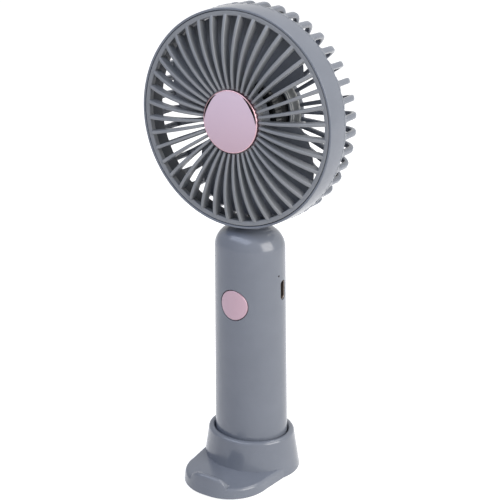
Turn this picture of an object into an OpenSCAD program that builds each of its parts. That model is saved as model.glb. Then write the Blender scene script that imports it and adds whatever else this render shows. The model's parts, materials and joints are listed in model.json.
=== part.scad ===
// Rechargeable table fan with a round head, an oval handle and a dock with a phone rest.
// Millimetres. +Z is up, the fan blows towards -Y, and the USB slot is on the +X side.
// The origin is on the table, under the middle of the part.

/* [Head] */
// Outer diameter of the band at its rear edge
head_d = 100.4; // [94:0.2:108]
// How much narrower the band is at its front rim
band_draft = 1.4; // [0.4:0.1:2.4]
// Length of the band along the fan axis
band_depth = 12.2; // [10:0.1:15]
// Thickness of the band wall
band_wall = 2.4; // [2:0.1:3]
// Thickness of the thin lip around the front bezel
rim_lip = 1; // [0.8:0.1:1.4]
// Distance from the handle axis forward to the front rim
head_reach = 13.2; // [12:0.1:16]
// Distance from the front rim back to the flat rear of the cage
cage_depth = 26; // [22.5:0.1:28]
// Outer radius of the rear corner of the cage
cage_corner_r = 6.5; // [4:0.1:8]
// Clear height between the handle and the head
neck_gap = 1.8; // [1.5:0.1:6]

/* [Grilles] */
// Number of ribs in the front grille and in the rear cage
rib_count = 40; // [24:4:40]
// Width of a front rib
front_rib_w = 1.5; // [1:0.1:1.7]
// Depth of a front rib along the fan axis
front_rib_depth = 4; // [3:0.1:4.5]
// How far the crown of the front ribs stands in front of the rim
dome_rise = 4; // [2.5:0.1:6]
// How far the outer rib ends sit behind the rim
rib_step = 0.6; // [0.2:0.1:1]
// Width of a rear rib
rear_rib_w = 2.4; // [1.6:0.1:2.6]
// Thickness of a rear rib
rear_rib_t = 3; // [1.8:0.1:3.4]
// How far the rear ribs sit inside the outer edge of the band
rear_rib_sink = 0.3; // [0.2:0.1:0.8]
// Width of the bezel of the front grille
bezel_w = 2.2; // [1.6:0.1:3]
// Depth of the bezel of the front grille
bezel_depth = 3.2; // [2.5:0.1:4.5]
// Gap between the bezel and the band
bezel_gap = 0.25; // [0.15:0.05:0.4]
// Angle of the solid sector above the neck
neck_sector = 18; // [17:1:26]

/* [Centre cap] */
// Diameter of the centre cap
cap_d = 28.4; // [25:0.2:32]
// Height of the upright edge of the cap
cap_edge = 1; // [0.6:0.1:1.6]
// Width and height of the bevel of the cap
cap_bevel = 1; // [0.5:0.1:1.5]
// Rise of the face of the cap over its bevel
cap_crown = 0.5; // [0.2:0.1:1]
// Distance from the rim forward to the seat of the cap
cap_seat = 0.6; // [0.2:0.1:1.2]
// Gap around the cap
cap_gap = 0.2; // [0.1:0.05:0.4]
// Thickness of the boss behind the cap
boss_t = 3; // [2.5:0.1:3.4]
// Diameter of the spigot of the cap
spigot_d = 8; // [6:0.1:12]
// Length of the spigot of the cap
spigot_len = 2.2; // [1.5:0.1:2.4]

/* [Motor and impeller] */
// Diameter of the motor
motor_d = 31; // [26:0.1:32]
// Length of the motor can
motor_len = 12.3; // [11.5:0.1:12.8]
// Wall of the motor can
can_wall = 0.8; // [0.6:0.1:1]
// Diameter of the front boss of the motor
motor_boss_d = 7.2; // [6.4:0.1:8.5]
// Length of the front boss of the motor
motor_boss_len = 1.6; // [1.2:0.1:2]
// Thickness of the motor end cap
end_disc_t = 1.4; // [1.2:0.1:1.8]
// Diameter of the motor shaft
shaft_d = 2; // [1.5:0.1:2.4]
// Outer diameter of the shaft bushes
bush_d = 4.5; // [4:0.1:5]
// Radial running clearance of the shaft
running_gap = 0.03; // [0.02:0.01:0.06]
// Thickness of the magnet ring
magnet_t = 3.2; // [2:0.1:4]
// Length of the magnet ring
magnet_len = 7.5; // [6:0.1:8]
// Air gap between the magnet and the armature
air_gap = 0.6; // [0.4:0.1:1]
// Length of the armature
armature_len = 6; // [5:0.1:6.4]
// Diameter of the commutator
commutator_d = 4.8; // [4:0.1:5.4]
// Length of the commutator
commutator_len = 2; // [1.6:0.1:2.2]
// Radial gap between the motor and its cup
motor_fit = 0.08; // [0.05:0.01:0.15]
// Gap between the motor can and the pieces inside it
can_fit = 0.05; // [0.02:0.01:0.1]
// Radial gap of the pieces that are fixed on the shaft
shaft_fit = 0.01; // [0.01:0.01:0.03]
// Width of the slots in the armature
slot_w = 1; // [0.6:0.1:1.6]
// Thickness of the brushes
brush_t = 0.2; // [0.15:0.05:0.4]
// Width of the brushes
brush_w = 2; // [1.5:0.1:3]
// Gap between the brushes and the commutator
brush_gap = 0.1; // [0.05:0.01:0.2]
// Room between the commutator and its neighbours
commutator_room = 0.3; // [0.2:0.05:0.4]
// Wall of the motor cup
cup_wall = 1.6; // [1.3:0.1:2]
// Length of the motor held by the cup
cup_grip = 2; // [1.8:0.1:4]
// Room behind the motor for its leads
terminal_room = 2.2; // [1.9:0.1:2.8]
// Thickness of the floor of the hub
hub_floor = 1.7; // [1.4:0.1:2.5]
// Diameter of the rear hub
hub_d = 41.6; // [40:0.2:46]
// Number of blades
blade_count = 2; // [2:1:5]
// Gap between the blade tips and the band
tip_gap = 2.6; // [2.3:0.1:5]
// Diameter of the impeller hub
impeller_hub_d = 27; // [26.6:0.1:29]
// Height of the blades along the fan axis
blade_h = 9.6; // [8:0.1:11.4]
// Angle that one blade covers at its root
blade_sweep = 134; // [60:1:150]
// Radius of the round outline of a blade
petal_r = 34.6; // [32:0.2:44]
// Distance from the fan axis to the centre of that outline
petal_reach = 23; // [18:0.2:32]
// Width of the blade strip at its root
blade_root_w = 4; // [3:0.1:5]
// Width of the blade strip at its tip
blade_tip_w = 11; // [8:0.1:14]
// Distance of the blades behind the front of the impeller hub
blade_setback = 2; // [1.5:0.1:3]
// Rest angle of the impeller
blade_rest = 108; // [0:1:180]
// Gap between the impeller hub and the parts in front and behind
hub_gap = 1; // [0.7:0.1:1.2]

/* [Handle] */
// Length of the handle
handle_len = 118.5; // [114:0.5:130]
// Width of the handle at its bottom
handle_w = 37; // [36:0.2:42]
// Width of the handle below its shoulder
handle_top_w = 34.6; // [33.6:0.2:40]
// Front to back depth of the handle at its bottom
handle_d = 31.6; // [30:0.2:36]
// Wall of the handle
handle_wall = 2; // [1.6:0.1:2.2]
// Radius of the shoulder
shoulder_r = 10; // [9.4:0.1:10.6]
// Clearance of pieces inside the handle
fit_gap = 0.15; // [0.1:0.05:0.3]
// Width of the neck
neck_w = 14; // [13:0.1:14]
// Diameter of the threaded tail of the neck
tail_d = 8.8; // [8:0.1:9.2]
// Length of the threaded tail below the top of the handle
tail_len = 6.2; // [5.6:0.1:7]
// Diameter of the wire bore in the neck
wire_bore_d = 5.2; // [4.6:0.1:5.6]
// Width of the neck nut across its flats
nut_w = 11.6; // [11.2:0.1:11.8]
// Thickness of the neck nut
nut_t = 3; // [2:0.1:3.4]

/* [Button and switch] */
// Diameter of the button
button_d = 14.4; // [12:0.1:16]
// Gap around the button
button_gap = 0.4; // [0.3:0.05:0.6]
// Height of the button centre above the bottom of the handle
button_up = 83.4; // [81:0.1:85]
// How far the button stands out of the handle
button_proud = 0.2; // [0:0.1:0.6]
// Travel of the button
button_travel = 0.6; // [0.3:0.1:0.8]
// Overhang of the flange behind the button
flange_lip = 1.2; // [0.8:0.1:1.4]
// Thickness of the flange behind the button
flange_t = 1; // [0.8:0.1:1.4]
// Diameter of the plunger behind the button
plunger_d = 4; // [3:0.1:5]
// Side of the square switch
switch_w = 6; // [5:0.1:7]
// Height of the switch body
switch_h = 3.5; // [2.5:0.1:4]
// Diameter of the switch stem
stem_d = 3.5; // [3:0.1:3.8]
// How far the stem stands out of the switch
stem_out = 1.2; // [1:0.1:1.6]
// How far the stem reaches into the switch
stem_in = 0.8; // [0.6:0.1:1]
// Gap around the stem
stem_gap = 0.1; // [0.05:0.01:0.15]

/* [Board and socket] */
// Width of the circuit board
board_w = 26; // [25:0.2:26.6]
// Length of the circuit board
board_len = 34; // [33:0.1:34.6]
// Thickness of the circuit board
board_t = 1.2; // [1:0.1:1.6]
// Distance of the rear face of the board in front of the handle axis
board_front = 0.7; // [0.4:0.1:1.2]
// Height of the USB socket centre above the bottom of the handle
usb_up = 89.5; // [88:0.1:91]
// Length of the USB socket shell across its mouth
usb_w = 8.94; // [8.6:0.01:9.2]
// Thickness of the USB socket shell
usb_t = 3.2; // [3:0.01:3.4]
// Depth of the USB socket shell
usb_depth = 7.3; // [6.5:0.1:8]
// Wall of the USB socket shell
usb_wall = 0.3; // [0.25:0.01:0.4]
// Margin of the USB opening around the shell
usb_margin = 0.4; // [0.2:0.05:0.7]
// Height of the charge light above the bottom of the handle
led_up = 97.2; // [95.5:0.1:99]
// Diameter of the light pipe
pipe_d = 0.8; // [0.6:0.1:2]
// Gap around the light pipe
pipe_gap = 0.05; // [0.05:0.01:0.15]
// Gap between the board and the bulkhead below it
board_room = 0.8; // [0.5:0.1:1]
// Diameter of the board posts
post_d = 4.4; // [4:0.1:5]
// Distance of the carrier spine behind the handle axis
spine_back = 6; // [5.4:0.1:6.6]
// Thickness of the carrier spine and cradle
carrier_t = 1.6; // [1.3:0.1:2]
// Diameter of the screw shanks
screw_d = 2; // [1.6:0.1:2.2]
// Diameter of the screw heads
screw_head_d = 3.8; // [3.4:0.1:4]
// Height of the screw heads
screw_head_h = 1.3; // [1:0.1:1.4]
// Clearance around screws
screw_gap = 0.1; // [0.05:0.01:0.15]

/* [Battery] */
// Diameter of the cell
cell_d = 18.4; // [18:0.1:18.8]
// Length of the cell
cell_len = 65.2; // [64.6:0.1:65.6]
// Thickness of the cell tabs
tab_t = 0.2; // [0.15:0.05:0.3]
// Free room at each end of the cell
cell_room = 0.4; // [0.35:0.05:0.6]
// Width of the cell tabs
tab_w = 6; // [4:0.1:8]
// Diameter of the wires
wire_d = 1.2; // [1:0.1:1.4]
// Gap between the wires and what they pass
wire_gap = 0.15; // [0.1:0.05:0.3]

/* [End cap] */
// Thickness of the end cap plate
end_plate_t = 1.5; // [1.4:0.1:2]
// Length of the end cap plug inside the handle
end_plug = 3; // [2.5:0.1:3.3]
// Distance of each end cap screw from the handle axis
end_screw_x = 13; // [12.6:0.1:13.2]
// Length of the end cap screws past their heads
end_screw_len = 9; // [7:0.1:11]
// Depth of the screw heads under the end cap
head_sink = 0.2; // [0.1:0.05:0.4]

/* [Dock] */
// Depth of the socket that holds the handle
socket_depth = 15.4; // [12:0.1:22]
// Gap between the handle and its socket
socket_gap = 0.3; // [0.25:0.05:0.6]
// Wall of the collar at its top
collar_wall = 3; // [2.5:0.1:4]
// How much the collar widens on each side towards the table
collar_flare = 2.6; // [0.5:0.1:3.5]
// Thickness of the foot above the pads
foot_h = 5.2; // [4.8:0.1:7]
// Distance from the handle axis to the front of the foot
foot_reach = 40.3; // [37:0.1:48]
// Width of the foot at the handle axis
foot_w = 47; // [44:0.1:48]
// Width of the foot where its front corners start
foot_front_w = 42.2; // [41:0.1:44]
// Radius of the front corners of the foot
foot_corner_r = 19.5; // [12:0.1:20]
// Width of the raised lip
lip_w = 18.6; // [16:0.1:30]
// Height of the lip over the foot
lip_h = 5; // [4.5:0.1:8]
// Thickness of the lip from front to back
lip_t = 6; // [4:0.1:8]
// Corner radius of the lip seen from the front
lip_corner_r = 4; // [2:0.1:4.4]
// Thickness of the bottom plate
plate_t = 1.6; // [1.2:0.1:1.8]
// Room over the bottom plate
plate_room = 0.8; // [0.5:0.1:1]
// Thickness of the dock under the handle
socket_skin = 1.8; // [1.5:0.1:2.5]
// Width of the dock edge around the bottom plate
plate_edge = 2.2; // [1.8:0.1:3]
// Gap around the bottom plate
plate_gap = 0.2; // [0.1:0.05:0.3]
// Diameter of the anti-slip pads
pad_d = 9; // [6:0.1:11]
// Thickness of the anti-slip pads
pad_h = 0.8; // [0.6:0.1:1.5]

/* [Hidden] */
$fn = 96;
bite = 0.4;
grey = "#868b93";
dark_grey = "#70757d";
pink = "#cdaabd";
black = "#1c1d1f";
steel = "#b9bcc0";
copper = "#b4764a";
brass = "#b8964e";
green = "#2f6b45";

// Heights above the table
plate_z = pad_h;
ceiling_z = plate_z + plate_t + plate_room;
handle_z = ceiling_z + socket_skin;
foot_z = pad_h + foot_h;
collar_z = handle_z + socket_depth;
handle_top = handle_z + handle_len;
shoulder_z = handle_top - shoulder_r;
tube_z = handle_z + end_plate_t;
roof_z = handle_top - handle_wall;
head_z = handle_top + neck_gap + head_d / 2;

// Handle section: round profiles squeezed from front to back
handle_flat = handle_d / handle_w;
top_flat_r = handle_top_w / 2 - shoulder_r;
function handle_r(z) =
    handle_w / 2 + (handle_top_w - handle_w) / 2 * (z - handle_z) / (shoulder_z - handle_z);
function inner_r(z) = handle_r(z) - handle_wall;
function surface_y(r, x) = handle_flat * sqrt(r * r - x * x);

// Head stations, measured forward from the handle axis
rim_a = head_reach;
band_back_a = rim_a - band_depth;
rear_a = rim_a - cage_depth;
hub_back_a = rear_a - hub_floor;
motor_back_a = rear_a + terminal_room;
motor_front_a = motor_back_a + motor_len;
motor_nose_a = motor_front_a + motor_boss_len;
cap_seat_a = rim_a + cap_seat;
boss_back_a = cap_seat_a - boss_t;
hub_front_a = boss_back_a - hub_gap;
hub_rear_a = motor_front_a + hub_gap;
blade_front_a = hub_front_a - blade_setback;

// Head radii
band_r = head_d / 2;
rear_rib_r = band_r - rear_rib_sink;
rear_inner_r = rear_rib_r - rear_rib_t;
front_r = band_r - band_draft / 2;
duct_r = front_r - band_wall;
pocket_r = front_r - rim_lip;
bezel_r = pocket_r - bezel_gap;
bezel_in_r = bezel_r - bezel_w;
cap_r = cap_d / 2;
rib_in_r = cap_r + cap_gap;
boss_r = rib_in_r + 2 * bite;
hub_r = hub_d / 2;
motor_r = motor_d / 2;
can_in_r = motor_r - can_wall;
magnet_r = can_in_r - can_fit;
magnet_in_r = magnet_r - magnet_t;
armature_r = magnet_in_r - air_gap;
shaft_r = shaft_d / 2;
bush_r = bush_d / 2;
cup_in_r = motor_r + motor_fit;
cup_r = cup_in_r + cup_wall;

// The crown line of the front ribs is one arc through three points
function circle_centre(p, q, s) =
    let (d = 2 * (p.x * (q.y - s.y) + q.x * (s.y - p.y) + s.x * (p.y - q.y)))
    let (a = p * p, b = q * q, c = s * s)
    [(a * (q.y - s.y) + b * (s.y - p.y) + c * (p.y - q.y)) / d,
     (a * (s.x - q.x) + b * (p.x - s.x) + c * (q.x - p.x)) / d];
rib_start = [rib_in_r, cap_seat_a + cap_edge];
rib_crown = [(rib_in_r + bezel_in_r) / 2, rim_a + dome_rise];
rib_end = [bezel_in_r, rim_a - rib_step];
dome_c = circle_centre(rib_start, rib_crown, rib_end);
dome_r = norm(rib_crown - dome_c);

// Board and switch, seen from the front of the handle
button_z = handle_z + button_up;
usb_z = handle_z + usb_up;
led_z = handle_z + led_up;
cell_z = tube_z + end_plug + cell_room;
cell_top = cell_z + cell_len;
bulkhead_z = cell_top + cell_room;
board_z = bulkhead_z + carrier_t + board_room;
board_top = board_z + board_len;
board_y = -board_front - board_t;
switch_y = board_y - switch_h;
stem_y = switch_y - stem_out;
hole_r = button_d / 2 + button_gap;
flange_r = hole_r + flange_lip - button_gap;
flange_y = -surface_y(inner_r(button_z), flange_r) + fit_gap;
usb_y = -board_front + usb_t / 2;
usb_mouth_x = inner_r(usb_z) - fit_gap;
pipe_y = board_y - pipe_d / 2;
post_x = board_w / 2 - post_d / 2 - bite;
post_zs = [board_z + post_d / 2 + bite, board_top - post_d / 2 - bite];

// Dock
socket_r = handle_w / 2 + socket_gap;
collar_r = socket_r + collar_wall;
collar_base_r = collar_r + collar_flare;
collar_flat = (handle_flat * socket_r + collar_wall) / collar_r;
foot_corner_y = -foot_reach + foot_corner_r;
lip_z = foot_z + lip_h;
back_y = max(collar_base_r * collar_flat, -hub_back_a);
shift_y = (foot_reach - back_y) / 2;

// Everything is drawn about the handle axis, then moved so that the part is centred on the origin
module place() {
    translate([0, shift_y, 0]) children();
}

// Head frame: x to the right, y up, z forward along the fan axis
module on_head(tint) {
    color(tint) place() translate([0, 0, head_z]) rotate([90, 0, 0]) children();
}

module on_handle(tint) {
    color(tint) place() children();
}

// A ring or disc on the fan axis between two stations
module ring(r, from, to, hole = 0) {
    translate([0, 0, from]) difference() {
        cylinder(r = r, h = to - from);
        if (hole > 0) translate([0, 0, -1]) cylinder(r = hole, h = to - from + 2);
    }
}

// A round profile turned about the handle axis in two halves and squeezed to the oval of the handle.
// The joints between the halves lie clear of the button, the slot and the screws.
module oval(flat = handle_flat) {
    for (turn = [45, 225])
        scale([1, flat, 1]) rotate([0, 0, turn]) rotate_extrude(angle = 180) children();
}

module oval_rod(r, h, flat = handle_flat) {
    scale([1, flat, 1]) rotate([0, 0, 135]) cylinder(r = r, h = h);
}

// A screw that points up, with its head at the bottom, and the hole for one
module screw(head_r, head_h, shank_r, shank_len) {
    rotate_extrude() polygon([
        [0, 0],
        [head_r, 0],
        [head_r, head_h],
        [shank_r, head_h],
        [shank_r, head_h + shank_len],
        [0, head_h + shank_len]
    ]);
}

// A rod that runs from front to back, or to the right
module rod_back(r, y0, y1) {
    translate([0, y1, 0]) rotate([90, 0, 0]) cylinder(r = r, h = y1 - y0);
}

module rod_right(r, x0, x1) {
    translate([x0, 0, 0]) rotate([0, 90, 0]) cylinder(r = r, h = x1 - x0);
}

// A wire: one tube of eight sides swept along its points
function unit(v) = v / norm(v);
function wire_dir(p, i) = unit(p[min(i + 1, len(p) - 1)] - p[max(i - 1, 0)]);
function wire_side(d) = unit(cross(d, abs(d.x) < 0.7 ? [1, 0, 0] : [0, 1, 0]));
function wire_ring(c, d, r) =
    let (u = wire_side(d), v = cross(d, u))
    [for (k = [0:7]) c + r * (u * cos(45 * k) + v * sin(45 * k))];
module wire(p, r = wire_d / 2) {
    n = len(p);
    rings = [for (i = [0:n - 1]) each wire_ring(p[i], wire_dir(p, i), r)];
    sides = [for (i = [0:n - 2], k = [0:7], t = [0, 1])
        let (a = 8 * i + k, b = 8 * i + (k + 1) % 8)
        t == 0 ? [a, b, b + 8] : [a, b + 8, a + 8]];
    first = [for (k = [1:6]) [0, k + 1, k]];
    last = [for (k = [1:6]) [8 * n - 8, 8 * n - 8 + k, 8 * n - 8 + k + 1]];
    polyhedron(points = rings, faces = [for (f = concat(sides, first, last)) [f[2], f[1], f[0]]]);
}

// Half section of the inside or outside of the cage, open to the front
module cage_section(r, back, corner) {
    translate([0, back]) square([r - corner, rim_a - back]);
    translate([0, back + corner]) square([r, rim_a - back - corner]);
    translate([r - corner, back + corner]) circle(r = corner);
}

module rear_rib_section() {
    intersection() {
        difference() {
            cage_section(rear_rib_r, rear_a, cage_corner_r);
            cage_section(rear_inner_r, rear_a + rear_rib_t, cage_corner_r - rear_rib_t);
        }
        translate([hub_r - bite, rear_a]) square([band_r, band_back_a + bite - rear_a]);
    }
}

module band() {
    rotate_extrude() polygon([
        [duct_r, band_back_a],
        [band_r, band_back_a],
        [front_r, rim_a],
        [pocket_r, rim_a],
        [pocket_r, rim_a - bezel_depth],
        [duct_r, rim_a - bezel_depth]
    ]);
}

module motor_cup() {
    difference() {
        union() {
            ring(hub_r, hub_back_a, rear_a + rear_rib_t + bite);
            ring(cup_r, rear_a, motor_back_a + cup_grip);
        }
        ring(cup_in_r, motor_back_a, motor_back_a + cup_grip + 1);
        ring(can_in_r, rear_a, motor_back_a + 1);
        // Notch for the two leads
        translate([-2 * wire_d, -hub_r - 1, rear_a + bite])
            cube([4 * wire_d, hub_r + 1, motor_back_a + cup_grip - rear_a - 2 * bite]);
    }
}

module neck() {
    difference() {
        translate([0, -band_r - neck_gap, 0]) rotate([-90, 0, 0]) {
            oval_rod(neck_w / 2, neck_gap + cage_corner_r);
            translate([0, 0, -tail_len]) cylinder(r = tail_d / 2, h = tail_len + bite);
        }
        rotate_extrude() cage_section(rear_inner_r, rear_a + rear_rib_t, cage_corner_r - rear_rib_t);
    }
}

module rear_cage() {
    step = 360 / rib_count;
    on_head(grey) difference() {
        union() {
            band();
            motor_cup();
            rotate([0, 0, -90 - neck_sector / 2]) rotate_extrude(angle = neck_sector) rear_rib_section();
            for (i = [0:rib_count - 1]) {
                turn = (i + 0.5) * step;
                if (abs(turn - 270) > neck_sector / 2)
                    rotate([0, 0, turn]) rotate([90, 0, 0])
                        linear_extrude(height = rear_rib_w, center = true) rear_rib_section();
            }
            neck();
        }
        translate([0, -band_r - neck_gap - tail_len - 1, 0]) rotate([-90, 0, 0])
            cylinder(r = wire_bore_d / 2, h = tail_len + neck_gap + cage_corner_r + 1);
    }
}

module front_rib_section() {
    intersection() {
        translate(dome_c) difference() {
            circle(r = dome_r, $fn = 180);
            circle(r = dome_r - front_rib_depth, $fn = 180);
        }
        translate([rib_in_r, 0]) square([bezel_in_r + bite - rib_in_r, rim_a + dome_rise + 1]);
    }
}

module front_grille() {
    on_head(grey) {
        ring(bezel_r, rim_a - bezel_depth, rim_a, bezel_in_r);
        ring(boss_r, boss_back_a, cap_seat_a, spigot_d / 2 + fit_gap);
        for (i = [0:rib_count - 1])
            rotate([0, 0, (i + 0.5) * 360 / rib_count]) rotate([90, 0, 0])
                linear_extrude(height = front_rib_w, center = true) front_rib_section();
    }
}

module centre_cap() {
    face_a = cap_seat_a + cap_edge + cap_bevel;
    face_r = cap_r - cap_bevel;
    crown_r = (face_r * face_r + cap_crown * cap_crown) / (2 * cap_crown);
    on_head(pink) {
        ring(cap_r, cap_seat_a, cap_seat_a + cap_edge);
        translate([0, 0, cap_seat_a + cap_edge]) cylinder(r1 = cap_r, r2 = face_r, h = cap_bevel);
        rotate_extrude() intersection() {
            translate([0, face_a + cap_crown - crown_r]) circle(r = crown_r, $fn = 360);
            translate([0, face_a - bite]) square([face_r, bite + cap_crown + 1]);
        }
        ring(spigot_d / 2, cap_seat_a - spigot_len, cap_seat_a + bite);
    }
}

module blade() {
    root_r = impeller_hub_d / 2 - bite;
    tip_r = duct_r - tip_gap;
    half = blade_tip_w / tip_r * 90 / PI;
    translate([0, 0, blade_front_a - blade_h]) intersection() {
        rotate([0, 0, -blade_sweep / 2])
            linear_extrude(height = blade_h, twist = -blade_sweep, slices = 32, $fn = 16)
                polygon(concat(
                    [for (k = [0:4]) tip_r * [cos(half * (k / 2 - 1)), sin(half * (k / 2 - 1))]],
                    [[root_r, blade_root_w / 2], [root_r, -blade_root_w / 2]]
                ));
        translate([petal_reach, 0, -1]) cylinder(r = petal_r, h = blade_h + 2);
    }
}

module impeller() {
    on_head(dark_grey) {
        difference() {
            union() {
                ring(impeller_hub_d / 2, hub_rear_a, hub_front_a);
                // Behind the hub the blades clear the motor
                difference() {
                    for (i = [0:blade_count - 1]) rotate([0, 0, blade_rest + i * 360 / blade_count]) blade();
                    ring(motor_r + hub_gap, blade_front_a - blade_h - 1, hub_rear_a + bite);
                }
            }
            ring(motor_boss_d / 2 + hub_gap, hub_rear_a - 1, motor_nose_a + hub_gap);
            ring(shaft_r + shaft_fit, hub_rear_a, hub_front_a - hub_gap);
        }
    }
}

module motor_shaft() {
    on_head(steel) ring(shaft_r, motor_back_a + can_fit, hub_front_a - hub_gap);
}

module armature() {
    from = motor_back_a + end_disc_t + commutator_len + 2 * commutator_room;
    on_head(copper) difference() {
        ring(armature_r, from, from + armature_len, shaft_r + shaft_fit);
        for (i = [0:2]) rotate([0, 0, 120 * i]) translate([armature_r / 2, -slot_w / 2, from - 1])
            cube([armature_r, slot_w, armature_len + 2]);
    }
}

module commutator() {
    from = motor_back_a + end_disc_t + commutator_room;
    on_head(copper) ring(commutator_d / 2, from, from + commutator_len, shaft_r + shaft_fit);
}

module motor_can() {
    on_head(black) rotate_extrude() polygon([
        [can_in_r, motor_back_a],
        [motor_r, motor_back_a],
        [motor_r, motor_front_a],
        [motor_boss_d / 2, motor_front_a],
        [motor_boss_d / 2, motor_nose_a],
        [bush_r, motor_nose_a],
        [bush_r, motor_front_a - can_wall],
        [can_in_r, motor_front_a - can_wall]
    ]);
}

module magnet_ring() {
    from = motor_front_a - can_wall - magnet_len;
    on_head(black) ring(magnet_r, from, from + magnet_len, magnet_in_r);
}

module motor_end_cap() {
    on_head(dark_grey) ring(magnet_r, motor_back_a, motor_back_a + end_disc_t, bush_r);
}

module motor_brushes() {
    base = motor_back_a + end_disc_t;
    reach = commutator_d / 2 + brush_gap + brush_t / 2;
    on_head(copper) for (side = [-1, 1])
        translate([side * reach - brush_t / 2, -brush_w / 2, base]) cube([brush_t, brush_w, commutator_len]);
}

module motor_bushes() {
    on_head(brass) {
        ring(bush_r, motor_front_a - can_wall, motor_nose_a, shaft_r + running_gap);
        ring(bush_r, motor_back_a, motor_back_a + end_disc_t, shaft_r + running_gap);
    }
}

// Each lead runs from the back of the motor down the solid sector and the neck to the board
module motor_leads() {
    wall_y = -rear_a - rear_rib_t - wire_d / 2 - wire_gap;
    room_y = -motor_back_a + terminal_room / 2;
    bend_z = head_z - rear_inner_r + wire_d / 2;
    step_x = wire_d / 2 + wire_gap;
    pad_y = board_y - wire_d;
    on_handle(black) for (side = [-1, 1]) wire([
        [side * 2 * step_x, -motor_back_a, head_z - can_in_r / 2],
        [side * 2 * step_x, room_y, head_z - can_in_r / 2],
        [side * 2 * step_x, room_y, head_z - can_in_r],
        [side * step_x, room_y - 2 * wire_gap, head_z - cup_r],
        [side * step_x, wall_y, head_z - hub_r + wire_d],
        [side * step_x, wall_y, bend_z + 3 * wire_d],
        [side * step_x, wall_y - 2 * wire_d, bend_z + wire_d],
        [side * step_x, wire_bore_d / 2 - wire_d, bend_z + wire_gap],
        [side * step_x, 0, head_z - band_r],
        [side * step_x, 0, handle_top - tail_len],
        [side * 2 * step_x, pad_y / 2, board_top + 2 * wire_d],
        [side * 4 * step_x, pad_y, board_top - wire_d],
        [side * 4 * step_x, pad_y, board_top - 2 * wire_d],
        [side * 4 * step_x, board_y, board_top - 2 * wire_d]
    ]);
}

module neck_nut() {
    on_handle(steel) translate([0, 0, roof_z - nut_t - screw_gap]) difference() {
        cylinder(d = nut_w / cos(30), h = nut_t, $fn = 6);
        translate([0, 0, -1]) cylinder(r = tail_d / 2 + screw_gap, h = nut_t + 2);
    }
}

// Half section of the handle, drawn in by an even margin, from a base height up
module handle_profile(shell, base = tube_z) {
    edge = [for (z = [base, shoulder_z]) [handle_r(z) - shell, z]];
    polygon([[0, base], edge[0], edge[1], [0, shoulder_z]]);
    translate([0, shoulder_z - bite]) square([top_flat_r, shoulder_r - shell + bite]);
    intersection() {
        translate([top_flat_r, shoulder_z]) circle(r = shoulder_r - shell);
        translate([0, shoulder_z]) square([handle_w, shoulder_r]);
    }
}

// A slot with round ends, larger than the socket by an even margin
module usb_slot(grow, from, to) {
    r = usb_t / 2 + grow;
    run = usb_w / 2 - usb_t / 2;
    translate([0, usb_y, usb_z]) {
        for (side = [-1, 1]) translate([0, 0, side * run]) rod_right(r, from, to);
        translate([from, -r, -run]) cube([to - from, 2 * r, 2 * run]);
    }
}

module handle_body() {
    on_handle(grey) difference() {
        oval() handle_profile(0);
        oval() handle_profile(handle_wall, handle_z);
        translate([0, 0, button_z]) rod_back(hole_r, -handle_d, 0);
        usb_slot(usb_margin, usb_mouth_x - handle_wall, handle_w);
        translate([0, pipe_y, led_z]) rod_right(pipe_d / 2 + pipe_gap, 1, handle_w);
        translate([0, 0, roof_z - 1]) cylinder(r = tail_d / 2 + screw_gap, h = handle_wall + 2);
    }
}

module carrier_cradle() {
    in_r = cell_d / 2 + fit_gap;
    base = tube_z + end_plug;
    translate([0, 0, base]) rotate_extrude(angle = 180)
        translate([in_r, 0]) square([carrier_t, bulkhead_z + carrier_t - base]);
    for (side = [-1, 1]) difference() {
        translate([side * end_screw_x, 0, base]) cylinder(r = screw_head_d / 2 + bite, h = end_screw_len + 2);
        translate([0, 0, base - 1]) cylinder(r = in_r, h = end_screw_len + 4);
        translate([side * end_screw_x, 0, base - 1])
            cylinder(r = screw_d / 2 + screw_gap, h = end_screw_len + 2);
    }
}

module inner_carrier() {
    spine_deep = (spine_back + carrier_t) / handle_flat;
    spine_w = 2 * (sqrt(pow(inner_r(board_top), 2) - spine_deep * spine_deep) - fit_gap);
    on_handle(dark_grey) difference() {
        union() {
            carrier_cradle();
            intersection() {
                translate([0, 0, bulkhead_z]) oval_rod(inner_r(bulkhead_z + carrier_t) - fit_gap, carrier_t);
                translate([-handle_w, -cell_d / 2 + 2 * wire_d, bulkhead_z])
                    cube([2 * handle_w, handle_d, carrier_t]);
            }
            translate([-spine_w / 2, spine_back, bulkhead_z])
                cube([spine_w, carrier_t, board_top - bulkhead_z]);
            for (side = [-1, 1], z = post_zs)
                translate([side * post_x, 0, z]) rod_back(post_d / 2, -board_front, spine_back + bite);
        }
        for (side = [-1, 1], z = post_zs)
            translate([side * post_x, 0, z])
                rod_back(screw_d / 2 + screw_gap, -board_front - 1, spine_back - carrier_t + screw_gap);
    }
}

module battery_cell() {
    on_handle("#3f7d8c") translate([0, 0, cell_z]) cylinder(d = cell_d, h = cell_len);
}

module battery_tabs() {
    on_handle(steel) {
        for (z = [cell_z - tab_t, cell_top])
            translate([-tab_w / 2, -cell_d / 2 - wire_d, z])
                cube([tab_w, cell_d / 2 + wire_d + tab_w / 2, tab_t]);
    }
}

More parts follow.
